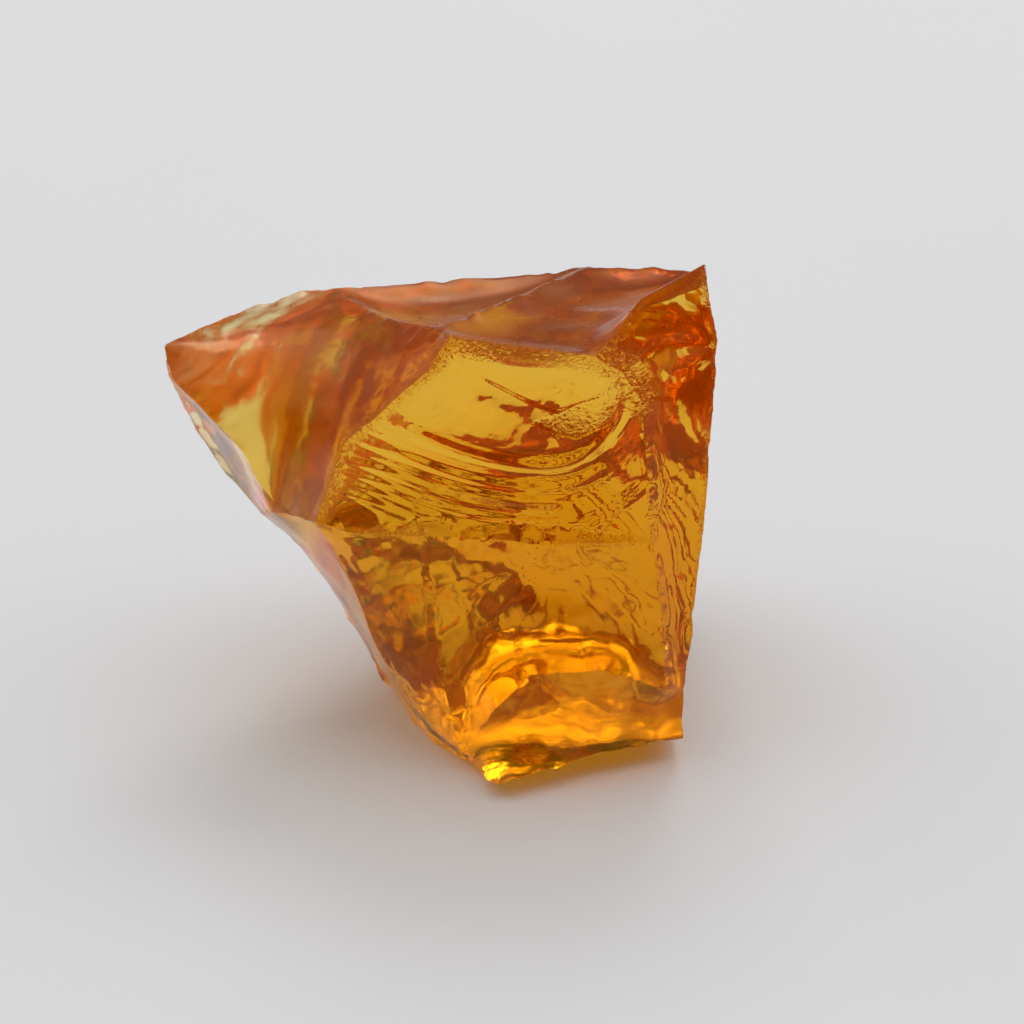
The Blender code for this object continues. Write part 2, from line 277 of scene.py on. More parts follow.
def ridge(start, end):
    """Fine points along one ridge, from one corner to the next."""
    if (end, start) in ridges:
        return ridges[end, start][::-1]
    if (start, end) not in ridges:
        a, b = CORNERS[start], CORNERS[end]
        bow = np.array(BOWS.get((start, end), BOWS.get((end, start), (0.0, 0.0, 0.0))))
        length = np.linalg.norm(b - a)
        t = np.linspace(0.0, 1.0, max(1, round(length / RIDGE_STEP)) + 1)[:, None]
        nicks = slow_nicks.uniform(-NICK_DEPTH, NICK_DEPTH, (len(t), 3))
        nicks *= np.clip(np.minimum(t, 1.0 - t) * length / NICK_FADE, 0.0, 1.0)
        on_floor = a[2] == 0.0 and b[2] == 0.0
        if on_floor:
            nicks[:, 2] = 0.0
        coarse = a + (b - a) * t + bow * 4.0 * t * (1.0 - t) + nicks
        coarse = np.array([snapped(p)[0] for p in coarse])
        ridges[start, end] = bitten(smooth_curve(coarse, RIDGE_CUTS), on_floor)
    return ridges[start, end]


# %% [markdown]
# ## The faces
# Each break is listed with its ring of corners, seen from outside and counter-clockwise, how deep it is
# pressed in, and the corner that its blow fell on. The last five numbers are its fine marks: how far
# apart its ripples stand, how high they are, how high the hackles are, the feathery steps that run
# straight away from the blow, how frosted the face is, and how lumpy. The hidden back is the roughest
# part. All that is seen through the front is the back, so the back gives the inside its play of dark and
# bright patches.

# %% The fracture faces
FACES = {
    "cheek": (
        ["tip", "tip_heel", "hollow_1", "hollow_2", "hollow_3", "cusp", "cheek_foot", "cheek_4",
         "cheek_3", "cheek_2", "cheek_1", "brow_left", "valley_head", "rim_left", "rim_bend", "rim_2",
         "rim_1"],
        -0.6, "tip", 0.05, (1.1, 0.012, 0.01, 0.75, 0.4)),
    "top_left": (
        ["rim_left", "valley_head", "rim_mid"],
        1.3, "rim_left", 0.04, (1.3, 0.015, 0.012, 1.2, 0)),
    "top_right": (
        ["valley_head", "brow_left", "brow_mid", "brow_right", "brow_step", "brow_rise", "peak",
         "back_shoulder", "rim_right", "rim_mid"],
        1.4, "brow_mid", 0.06, (1.2, 0.018, 0.02, 1.2, 0)),
    "peak_face": (
        ["brow_right", "scar_top", "peak_foot", "right_1", "peak", "brow_rise", "brow_step"],
        0.2, "peak", 0.08, (0.9, 0.03, 0.05, 0.1, 0)),
    "front_scar": (
        ["cheek_foot", "lip_left", "shelf_in", "shelf_mid", "lip_right", "scar_side", "scar_turn",
         "scar_top", "brow_right", "brow_mid", "brow_left", "cheek_1", "cheek_2", "cheek_3", "cheek_4"],
        1.5, "brow_mid", 0.0, (0.52, 0.008, 0.006, 0, 0)),
    "shelf": (
        ["lip_left", "lip_in", "lip_mid", "lip_right", "shelf_mid", "shelf_in"],
        0.0, "lip_in", 0.0, (0.6, 0.04, 0.06, 0, 0.25)),
    "front_right": (
        ["scar_top", "scar_turn", "scar_side", "lip_right", "turn_low", "foot_4", "right_5", "right_4",
         "right_3", "right_2", "right_1", "peak_foot"],
        0.2, "right_2", 0.06, (1.2, 0.015, 0.02, 0, 0)),
    "lower_left": (
        ["cheek_foot", "side_1", "side_2", "side_3", "side_4", "base_left", "base_chip", "foot_left",
         "front_2", "front_1", "lip_in", "lip_left"],
        -0.3, "lip_in", 0.1, (1.2, 0.035, 0.05, 0.5, 0.3)),
    "lower_front": (
        ["lip_in", "front_1", "front_2", "foot_left", "foot_1", "foot_2", "foot_3", "foot_4",
         "turn_low", "lip_right", "lip_mid"],
        0.5, "lip_mid", 0.1, (1.4, 0.03, 0.05, 0.4, 0.3)),
    "foot": (
        ["foot_left", "base_chip", "base_toe", "base_front", "base_edge", "base_right", "right_5",
         "foot_4", "foot_3", "foot_2", "foot_1"],
        0.1, "foot_2", 0.1, (1, 0.035, 0.07, 0.8, 0.35)),
    "hollow_upper": (
        ["tip", "under_0", "under_1", "under_2", "under_3", "under_4", "far_cusp", "cusp", "hollow_3",
         "hollow_2", "hollow_1", "tip_heel"],
        0.3, "cusp", 0.06, (1.3, 0.012, 0.008, 0, 0)),
    "hollow_lower": (
        ["cusp", "far_cusp", "rear_0", "rear_1", "rear_2", "rear_3", "rear_4", "rear_5", "base_left",
         "side_4", "side_3", "side_2", "side_1", "cheek_foot"],
        0.3, "cusp", 0.06, (1.5, 0.012, 0.01, 0.9, 0)),
    "back_horn": (
        ["tip", "rim_1", "rim_2", "rim_bend", "rim_left", "knee", "far_cusp", "under_4", "under_3",
         "under_2", "under_1", "under_0"],
        0.9, "rim_left", 0.07, (1.6, 0.035, 0.05, 1.2, 0.8)),
    "back_low": (
        ["far_cusp", "knee", "base_rear", "base_left", "rear_5", "rear_4", "rear_3", "rear_2",
         "rear_1", "rear_0"],
        0.5, "knee", 0.1, (1.5, 0.05, 0.1, 1.0, 1.0)),
    "back_shell": (
        ["rim_left", "rim_mid", "spine", "heel", "knee"],
        0.5, "rim_mid", 0.1, (1.8, 0.02, 0.03, 0.25, 0.4)),
    "back_foot": (
        ["knee", "heel", "base_back", "base_rear"],
        0.6, "heel", 0.06, (1.3, 0.05, 0.12, 1.0, 1.4)),
    "back_right": (
        ["rim_mid", "rim_right", "back_shoulder", "flank", "spine"],
        0.8, "rim_right", 0.08, (1.6, 0.035, 0.08, 0.3, 0.8)),
    "back_right_low": (
        ["heel", "spine", "flank", "base_back_right", "base_back"],
        -0.5, "spine", 0.1, (1.5, 0.06, 0.36, 0.9, 1.3)),
    "right": (
        ["peak", "right_1", "right_2", "right_3", "right_4", "right_5", "base_right", "base_side",
         "base_back_right", "flank", "back_shoulder"],
        0.2, "peak", 0.05, (1.4, 0.012, 0.015, 0.2, 0.1)),
    "under_front": (
        ["base_edge", "base_front", "base_toe", "base_chip", "base_left", "base_side", "base_right"],
        0.3, "base_edge", 0.08, (1.2, 0.03, 0.04, 0, 0)),
    "base": (
        ["base_left", "base_rear", "base_back", "base_back_right", "base_side"],
        0.0, "base_back", 0.0, (0.9, 0.03, 0.2, 1.0, 2.0)),
}
for ring, *_ in FACES.values():
    for a, b in zip(ring, ring[1:] + ring[:1]):
        ridge(a, b)
print(len(FACES), "faces and", len(ridges), "ridges")

# %% [markdown]
# ## A skin over a ring of ridges
# A face could be one flat polygon, or a grid warped to fit. A shell-shaped break is neither: it is smooth
# inside, and it must meet its ridges exactly. So a triangular grid of points is laid inside the ring, and
# each point gets its height from the whole rim by mean value weights. The same weights tell how far the
# point is from the rim, which says how deep the hollow is there.


# %% The tools that stretch the skin
def face_frame(rim):
    """Centre, two axes in the plane that fits the rim best, and its outward normal."""
    after = np.roll(rim, -1, axis=0)
    normal = np.cross(rim, after).sum(axis=0)
    normal /= np.linalg.norm(normal)
    across = np.cross((0.0, 0.0, 1.0), normal)
    if np.linalg.norm(across) < 0.1:
        across = np.array((1.0, 0.0, 0.0))
    across /= np.linalg.norm(across)
    return rim.mean(axis=0), across, np.cross(normal, across), normal


def mean_value_weights(points, rim):
    """Weight of each rim point at each inner point; their sum is 2 over the smooth distance to the rim."""
    arms = rim[None, :, :] - points[:, None, :]
    lengths = np.linalg.norm(arms, axis=2)
    following = np.roll(arms, -1, axis=1)
    turn = np.arctan2(
        arms[:, :, 0] * following[:, :, 1] - arms[:, :, 1] * following[:, :, 0],
        (arms * following).sum(axis=2),
    )
    half = np.tan(turn / 2.0)
    return (half + np.roll(half, 1, axis=1)) / lengths


def inside(points, rim):
    """True for the points that lie inside the rim, by crossings of a ray along the first axis."""
    x, y = points[:, 0:1], points[:, 1:2]
    x0, y0 = rim[:, 0], rim[:, 1]
    x1, y1 = np.roll(x0, -1), np.roll(y0, -1)
    crosses = (y0 > y) != (y1 > y)
    with np.errstate(divide="ignore", invalid="ignore"):
        at = x0 + (y - y0) / (y1 - y0) * (x1 - x0)
    return (np.where(crosses, x < at, False).sum(axis=1) % 2) == 1


EDGE_CLEARANCE = 0.62    # share of the grid's step that its points keep from the rim


def inner_points(rim, step, wanted=None):
    """A triangular grid of points inside the rim that keeps clear of it; wanted may thin it out first."""
    low, high = rim.min(axis=0), rim.max(axis=0)
    x, y = np.meshgrid(np.arange(low[0], high[0], step),
                       np.arange(low[1], high[1], step * math.sqrt(0.75)))
    x[1::2] += step / 2.0
    points = np.column_stack([x.ravel(), y.ravel()])
    if wanted is not None:
        points = points[wanted(points)]
    points = points[inside(points, rim)]
    along = np.roll(rim, -1, axis=0) - rim
    t = ((points[:, None, :] - rim) * along).sum(axis=2) / (along ** 2).sum(axis=1)
    nearest = rim + np.clip(t, 0.0, 1.0)[:, :, None] * along
    gap = np.linalg.norm(points[:, None, :] - nearest, axis=2).min(axis=1)
    return points[gap > EDGE_CLEARANCE * step]


# %% [markdown]
# ## The big front scar
# This is the stone's showpiece. The blow fell on the brow, and the crack ran down and out, leaving rings
# that stand closer together the further it went, a few of them steep enough to look like dark bands.
# Two flakes came off later under the brow and left shallow bowls with sharp rims. The rings could be a
# bump in the material, but their shape has to bend the light that comes through, so they are real.

# %% Rings and lost flakes
BLOW = (7.85, 33.00)     # X and Z of the spot where the blow fell
LEFT_STRETCH = 1.22      # the rings reach this much further on its left side
STRETCH_GAIN = 0.028     # and more so with each millimetre outwards
RIGHT_STRETCH = 0.74
RINGS = [                # radius, half width, height, and the bearings in degrees it starts and ends at
    (2.7, 0.14, 0.045, -8, 46),
    (8.6, 0.50, 0.29, -95, 70),
    (9.45, 0.16, 0.065, -90, -15),
    (9.8, 0.09, 0.022, -40, 66),
    (10.2, 0.32, 0.21, -95, 30),
    (10.6, 0.08, 0.026, -30, 62),
    (10.85, 0.18, 0.11, -85, 12),
    (11.1, 0.07, 0.022, 0, 58),
    (11.5, 0.32, 0.26, -95, 8),
    (11.75, 0.07, 0.024, 4, 60),
    (12.1, 0.07, 0.022, 4, 55),
    (12.25, 0.24, 0.20, -95, 8),
    (12.9, 0.20, 0.14, -95, 40),
    (13.5, 0.24, 0.18, -95, 60),
]
FLAKES = [               # outline on the scar as X and Z, step at its rim, how much deeper inside, crush
    ([(1.7, 35.2), (1.8, 32.4), (3.5, 31.1), (5.8, 29.8), (7.4, 29.0), (8.9, 28.5), (10.2, 29.3),
      (11.9, 30.1), (13.5, 32.0), (13.5, 35.2)], 0.09, 0.14, 0.0),
    ([(6.9, 27.9), (8.9, 26.7), (10.2, 26.5), (11.7, 27.3), (12.9, 28.1), (13.5, 30.4), (13.5, 32.0),
      (11.9, 30.1), (10.2, 29.3), (8.9, 28.5)], 0.16, 0.10, 0.55),
]
FLAKE_RIM = 0.16         # how far the step at a flake's rim is spread
FLAKE_BOWL = 2.2         # and how far in its floor still deepens
FLAKE_CRUSH = 0.3        # the crust on its floor is full this far in
RING_START = 14.0        # degrees over which a ring rises from nothing
RING_END = 6.0           # and over which it dies out
print(len(RINGS), "rings and", len(FLAKES), "lost flakes")


def depth_inside(points, outline):
    """How far each point lies inside an outline; 0 outside it."""
    along = np.roll(outline, -1, axis=0) - outline
    t = ((points[:, None, :] - outline) * along).sum(axis=2) / (along ** 2).sum(axis=1)
    nearest = outline + np.clip(t, 0.0, 1.0)[:, :, None] * along
    gap = np.linalg.norm(points[:, None, :] - nearest, axis=2).min(axis=1)
    return np.where(inside(points, outline), gap, 0.0)


def fade(value, start, end):
    """0 before start, 1 after end, smooth between them."""
    t = np.clip((value - start) / (end - start), 0.0, 1.0)
    return t * t * (3.0 - 2.0 * t)


def scar_polar(places):
    """Distance from the blow, stretched as the rings are, and bearing from straight down in degrees."""
    x, z = places[:, 0] - BLOW[0], places[:, 2] - BLOW[1]
    left = LEFT_STRETCH + STRETCH_GAIN * np.hypot(x, z)
    reach = np.hypot(x / np.where(x < 0.0, left, RIGHT_STRETCH), z)
    return reach, np.degrees(np.arctan2(x, -z))


def scar_relief(places):
    """How far the rings and the lost flakes lift the scar's surface, in millimetres."""
    reach, bearing = scar_polar(places)
    relief = np.zeros(len(places))
    for radius, width, height, start, end in RINGS:
        part = fade(bearing, start, start + RING_START) * (1.0 - fade(bearing, end - RING_END, end))
        relief += height * part * np.exp(-(((reach - radius) / width) ** 2))
    for outline, step, bowl, _ in FLAKES:
        depth = depth_inside(places[:, [0, 2]], np.array(outline))
        relief -= fade(depth, 0.0, FLAKE_RIM) * step + fade(depth, 0.0, FLAKE_BOWL) * bowl
    return relief


def flake_crush(places):
    """How crushed the floor of a lost flake is at each place."""
    share = np.zeros(len(places))
    for outline, _, _, crush in FLAKES:
        depth = depth_inside(places[:, [0, 2]], np.array(outline))
        share = np.maximum(share, crush * fade(depth, 0.0, FLAKE_CRUSH))
    return share


# %% [markdown]
# ## Crushed edges
# Along the brow, down the left side of the scar and around the foot, the edge took many small knocks.
# The glassy surface there is a crust of tiny facets that sparkle. Which parts are crushed is stored on
# the mesh as a number from 0 to 1, so that both the shape and the finish can read it.

# %% Where the edges are crushed
CRUSHED = [              # ridge, reach of the crush in millimetres, strength
    ("brow_left", "brow_mid", 2.1, 1.0),
    ("brow_mid", "brow_right", 1.9, 1.0),
    ("brow_right", "scar_top", 2.0, 1.0),
    ("scar_top", "scar_turn", 1.6, 0.9),
    ("brow_left", "cheek_1", 1.0, 0.8),
    ("cheek_1", "cheek_2", 0.9, 0.8),
    ("cheek_2", "cheek_3", 0.8, 0.8),
    ("cheek_3", "cheek_4", 0.7, 0.7),
    ("cheek_4", "cheek_foot", 0.9, 0.9),
    ("brow_right", "brow_step", 0.8, 0.6),
    ("brow_step", "brow_rise", 0.7, 0.5),
    ("peak", "right_1", 0.5, 0.5),
    ("right_1", "right_2", 0.4, 0.4),
    ("right_2", "right_3", 0.4, 0.4),
    ("right_3", "right_4", 0.3, 0.3),
    ("foot_left", "foot_1", 0.5, 0.4),
    ("base_chip", "base_left", 0.8, 0.7),
    ("lip_left", "lip_in", 0.4, 0.5),
    ("lip_mid", "lip_right", 0.4, 0.5),
]
CRUSH_CORE = 0.2         # the crust is full up to this share of its reach
CRUSH_SKIRT = 1.4        # and gone at this one
CRUSH_REACH = {"top_left": 0.3, "top_right": 0.35, "cheek": 0.6, "lower_front": 0.6, "right": 0.5}
print(len(CRUSHED), "crushed stretches")


def crushed_share(places, name):
    """How crushed a face is at each place, from 0 to 1; on some faces the crust reaches less far."""
    share = np.zeros(len(places))
    for start, end, width, strength in CRUSHED:
        width *= CRUSH_REACH.get(name, 1.0)
        line = ridges.get((start, end), ridges.get((end, start)))
        gap = np.sqrt(((places[:, None, :] - line[None, :, :]) ** 2).sum(axis=2).min(axis=1))
        share = np.maximum(share, strength * (1.0 - fade(gap, CRUSH_CORE * width, CRUSH_SKIRT * width)))
    return np.maximum(share, flake_crush(places)) if name == "front_scar" else share


# %% [markdown]
# ## Each face becomes a skin
# The rim, the inner points, the hollow, the slow waves and the scar's rings come together here, one face
# at a time. A constrained Delaunay mesh joins the points, because it keeps the rim as it is and the
# triangles as stout as it can. The grid is finer on the scar and where an edge is crushed, and nowhere else.

# %% Each face becomes a skin
SKIN_STEP = 0.34         # spacing of the points inside a plain face
SCAR_STEP = 0.155        # inside the ringed front scar
CRUSH_STEP = 0.15        # and where a face is crushed
CRUSH_LEVEL = 0.08       # and how crushed it must be for that
WAVE_LENGTH = 5.2        # from crest to crest of the slow waves on a plain face
WAVE_MARGIN = 2.5        # the waves die out this near to a ridge
MARK_MARGIN = 0.7        # ripples and hackles die out this near to a ridge


def stretch_skin(name):
    """Points, triangles and marks of one face: its rim first, then the inner points."""
    ring, hollow, blow, wave_height, fine_marks = FACES[name]
    ripple_gap, ripple_height, hackle_height, frost, lump = fine_marks
    rim = np.vstack([ridge(a, b)[:-1] for a, b in zip(ring, ring[1:] + ring[:1])])
    centre, across, up, normal = face_frame(rim)
    flat_rim = np.column_stack([(rim - centre) @ across, (rim - centre) @ up])
    flat = inner_points(flat_rim, SCAR_STEP if name == "front_scar" else SKIN_STEP)
    if name != "front_scar" and crushed_share(rim, name).max() > CRUSH_LEVEL:
        def is_crushed(p):
            return crushed_share(centre + p[:, :1] * across + p[:, 1:] * up, name) > CRUSH_LEVEL
        fine = inner_points(flat_rim, CRUSH_STEP, is_crushed)
        flat = np.vstack([flat[~is_crushed(flat)], fine])
    weights = mean_value_weights(flat, flat_rim)
    total = weights.sum(axis=1)
    height = (weights @ ((rim - centre) @ normal)) / total
    distance = 2.0 / total
    share = distance / distance.max(initial=1e-9)
    height -= hollow * share ** 2 * (3.0 - 2.0 * share)
    places = centre + flat[:, :1] * across + flat[:, 1:] * up + height[:, None] * normal
    reach = np.linalg.norm(places - CORNERS[blow], axis=1)
    calm = np.clip(distance / WAVE_MARGIN, 0.0, 1.0)
    relief = wave_height * np.sin(reach * math.tau / WAVE_LENGTH) * calm
    arm = places - CORNERS[blow]
    bearing = np.arctan2(arm @ up, arm @ across)
    if name == "front_scar":
        relief += scar_relief(places) * np.clip(distance, 0.0, 1.0)
        reach, degrees = scar_polar(places)
        bearing = np.radians(degrees)
    places += relief[:, None] * normal
    inner = np.clip(distance / MARK_MARGIN, 0.0, 1.0)
    still = np.zeros(len(rim))      # the neighbours share the rim, so no ripple or hackle moves it
    marks = {
        "reach": np.concatenate([still, reach / ripple_gap]),
        "bearing": np.concatenate([still, bearing]),
        "ripple": np.concatenate([still, inner * ripple_height]),
        "hackle": np.concatenate([still, inner * hackle_height]),
        "frost": np.full(len(rim) + len(places), frost),
        "lump": np.full(len(rim) + len(places), lump),
        "crush": crushed_share(np.vstack([rim, places]), name),
    }
    flat_all = np.vstack([flat_rim, flat])
    outline = [(i, (i + 1) % len(rim)) for i in range(len(rim))]
    made = delaunay_2d_cdt([Vector(p) for p in flat_all], outline, [], 1, 1e-7, True)
    if len(made[0]) != len(flat_all):
        raise ValueError(f"the ridges of {name} cross each other")
    triangles = np.array(made[2])
    middles = flat_all[triangles].mean(axis=1)
    return np.vstack([rim, places]), triangles[inside(middles, flat_rim)], marks


skins = {name: stretch_skin(name) for name in FACES}
print(sum(len(triangles) for _, triangles, _ in skins.values()), "triangles in", len(skins), "skins")

# %% [markdown]
# ## One closed stone
# The skins share their ridge points exactly, so welding those points closes the shell. The marks go on
# the mesh as attributes, one number for each vertex.


# %% The skins are welded
def weld(parts):
    """One list of points, triangles and marks from many; where points meet, the larger mark holds."""
    points = np.vstack([p for p, _, _ in parts])
    starts = np.cumsum([0] + [len(p) for p, _, _ in parts[:-1]])
    triangles = np.vstack([t + s for (_, t, _), s in zip(parts, starts)])
    marks = {key: np.concatenate([m[key] for _, _, m in parts]) for key in parts[0][2]}
    _, first, back = np.unique(np.round(points, 5), axis=0, return_index=True, return_inverse=True)
    back = back.reshape(-1)
    kept = {key: np.full(len(first), -np.inf) for key in marks}
    for key, values in marks.items():
        np.maximum.at(kept[key], back, values)
    return points[first], back[triangles], kept


points, triangles, marks = weld(list(skins.values()))
stone_mesh = bpy.data.meshes.new("topaz_stone")
stone_mesh.from_pydata(points * MM, [], triangles.tolist())
for key, values in marks.items():
    stone_mesh.attributes.new(key, "FLOAT", "POINT").data.foreach_set("value", values.astype(np.float32))
stone_mesh.validate()
blank = bpy.data.objects.new("topaz_blank", stone_mesh)
bpy.context.scene.collection.objects.link(blank)
sides = np.sort(np.vstack([triangles[:, [0, 1]], triangles[:, [1, 2]], triangles[:, [2, 0]]]), axis=1)
edge_use = np.unique(sides, axis=0, return_counts=True)[1]
print(len(points), "points, open or doubled edges:", int((edge_use != 2).sum()))

# %% [markdown]
# ## The topaz itself
# The crystal is clear and golden brown. Light loses its blue in the first millimetres and then slowly
# its green, which is absorption inside, and a little more at each bounce, which the surface tint stands
# for. All of it is plain: transmission, an index of refraction, and an absorption colour and density.
# The surface is glassy but not perfect. Crushed edges are rougher, some breaks are frosted in patches, and
# faint smears lie on it. Low down the colour is painted deeper and darker. This is painted shade, standing
# in for the shaded floor under and behind the stone that is seen through it.

# %% Clear golden crystal
LOSS = np.array((2.0, 25.5, 130.0))      # light lost in each metre of crystal: red, green, blue
TINT = (1.0, 0.885, 0.53, 1.0)
# painted shade: the deeper, darker colour low down, standing in for the shaded floor seen through the lower
# part
FOOT_SHADE_TINT = (0.88, 0.54, 0.10, 1.0)
SHADE_ZONE = (14.0, 25.0)        # the painted shade grows deeper from the upper height down to the lower, in mm
SHADE_ZONE_MOTTLE = 0.3          # how much the smears stir the border of the painted shade
SHEEN_TINT = (0.75, 0.45, 0.10, 1.0)
CRYSTAL_IOR = 1.61
CRUSH_ROUGHNESS = 0.10
SMEAR_ROUGHNESS = 0.03     # faint smears, where their noise passes from the first level to the second
SMEAR_LEVELS = (0.45, 0.75)
FROST_ROUGHNESS = 0.45     # times the face's own frost and a noise that is 0.5 on average
GRAIN_STRENGTH = 0.10
GRAIN_HEIGHT = 0.05        # the fine grain all over, in millimetres
GRIT_HEIGHT = 0.12         # the finest crust on crushed edges, in millimetres
SMEARS = (260.0, 4.0)      # scale per metre and detail of each noise
FROST_PATCHES = (150.0, 3.0)
GRAIN_NOISE = (1500.0, 3.0)
GRIT_NOISE = (5500.0, 2.0)


def node(tree, kind, **settings):
    """A new node with its settings."""
    made = tree.nodes.new(kind)
    for key, value in settings.items():
        setattr(made, key, value)
    return made


def noise_at(tree, place, scale, detail):
    """A noise from 0 to 1, read at a place."""
    made = node(tree, "ShaderNodeTexNoise")
    made.inputs["Scale"].default_value = scale
    made.inputs["Detail"].default_value = detail
    tree.links.new(place, made.inputs["Vector"])
    return made.outputs["Fac"]


def scaled_sum(tree, value, scale, added):
    """A value times a plain number, and another value on top."""
    made = node(tree, "ShaderNodeMath", operation="MULTIPLY_ADD")
    made.inputs[1].default_value = scale
    tree.links.new(value, made.inputs[0])
    tree.links.new(added, made.inputs[2])
    return made.outputs["Value"]


def product(tree, first, second):
    """Two values multiplied."""
    made = node(tree, "ShaderNodeMath", operation="MULTIPLY")
    tree.links.new(first, made.inputs[0])
    tree.links.new(second, made.inputs[1])
    return made.outputs["Value"]


def ramp(tree, value, span, low, high, kind="LINEAR"):
    """A value that runs from low to high as another one runs over a span."""
    made = node(tree, "ShaderNodeMapRange", interpolation_type=kind)
    for key, number in zip(("From Min", "From Max", "To Min", "To Max"), (*span, low, high)):
        made.inputs[key].default_value = number
    tree.links.new(value, made.inputs["Value"])
    return made.outputs["Result"]


def bump(tree, height, strength, distance, under=None):
    """A bump normal, on top of another one if that is given."""
    made = node(tree, "ShaderNodeBump")
    made.inputs["Strength"].default_value = strength
    made.inputs["Distance"].default_value = distance
    tree.links.new(height, made.inputs["Height"])
    if under is not None:
        tree.links.new(under, made.inputs["Normal"])
    return made.outputs["Normal"]


def crystal_material():
    """Clear golden crystal with a frosted, grainy or crushed surface where the marks say so."""
    material = bpy.data.materials.new("golden_topaz")
    material.use_nodes = True
    tree = material.node_tree
    shader = tree.nodes["Principled BSDF"]
    shader.inputs["Transmission Weight"].default_value = 1.0
    shader.inputs["IOR"].default_value = CRYSTAL_IOR
    shader.inputs["Specular Tint"].default_value = SHEEN_TINT
    place = node(tree, "ShaderNodeTexCoord").outputs["Object"]
    crush = node(tree, "ShaderNodeAttribute", attribute_name="crush").outputs["Fac"]
    frost = node(tree, "ShaderNodeAttribute", attribute_name="frost").outputs["Fac"]
    smears = noise_at(tree, place, *SMEARS)

    # painted shade: low down the colour turns from the crystal's tint to the deeper, darker foot tint
    height = node(tree, "ShaderNodeSeparateXYZ")
    tree.links.new(place, height.inputs["Vector"])
    painted_shade = ramp(tree, height.outputs["Z"], (SHADE_ZONE[0] * MM, SHADE_ZONE[1] * MM), 0.0, 1.0, "SMOOTHSTEP")
    tint = node(tree, "ShaderNodeMix", data_type="RGBA", clamp_factor=True)
    tint.inputs["A"].default_value = FOOT_SHADE_TINT
    tint.inputs["B"].default_value = TINT
    tree.links.new(scaled_sum(tree, smears, SHADE_ZONE_MOTTLE, painted_shade), tint.inputs["Factor"])
    tree.links.new(tint.outputs["Result"], shader.inputs["Base Color"])

    worn = scaled_sum(tree, crush, CRUSH_ROUGHNESS, ramp(tree, smears, SMEAR_LEVELS, 0.0, SMEAR_ROUGHNESS))
    frosted = product(tree, noise_at(tree, place, *FROST_PATCHES), frost)
    tree.links.new(scaled_sum(tree, frosted, FROST_ROUGHNESS, worn), shader.inputs["Roughness"])

    grain = bump(tree, noise_at(tree, place, *GRAIN_NOISE), GRAIN_STRENGTH, GRAIN_HEIGHT * MM)
    gritty = product(tree, noise_at(tree, place, *GRIT_NOISE), crush)
    tree.links.new(bump(tree, gritty, 1.0, GRIT_HEIGHT * MM, grain), shader.inputs["Normal"])

    inner = node(tree, "ShaderNodeVolumeAbsorption")
    density = float(LOSS.max())
    inner.inputs["Density"].default_value = density
    inner.inputs["Color"].default_value = (*(1.0 - LOSS / density), 1.0)
    tree.links.new(inner.outputs["Volume"], tree.nodes["Material Output"].inputs["Volume"])
    return material


golden_topaz = crystal_material()
print("material", golden_topaz.name, "IOR", CRYSTAL_IOR)

# %% [markdown]
# ## Ripples, hackles and crushed facets
# The fine marks repeat by rule: a ripple every so many tenths of a millimetre along the crack's way,
# hackles fanned out from the blow, and facets wherever the edge is crushed. That is work for Geometry
# Nodes: one tree reads the stored numbers and moves each point along its normal, and its few inputs set
# how strong each kind of mark is.


# %% The tree that raises the fine marks
MARK_SETTINGS = {"Ripple Strength": 1.0, "Hackle Strength": 1.0, "Hackles Per Turn": 60.0,
                 "Facet Size": 0.34, "Facet Slant": 0.75, "Lump Height": 0.6, "Seed": 3.0}
RIPPLE_DRIFT = 9.0         # how far, in radians, slow clouds pull the ripples off their even beat
RIPPLE_LEAST = 0.05        # the share of a ripple's height that is left between its patches
HACKLE_FEATHER = 0.22      # how fast a hackle changes along its way, against the ripples' beat
HACKLE_GAIN = 2.0
CRUST_GAIN = 1.7           # the crust breaks up where gain times crush plus clouds falls below its start
CRUST_CLOUDS = 0.7
CRUST_START = 0.35
CLOUDS = {                 # scale per millimetre, detail and shift of each cloud pattern
    "drift": (0.22, 2.0, 0.0),
    "patches": (0.30, 1.0, 5.0),
    "streaks": (1.0, 2.0, 9.0),
    "crust": (0.9, 2.0, 2.0),
    "lumps": (0.36, 2.0, 13.0),
}


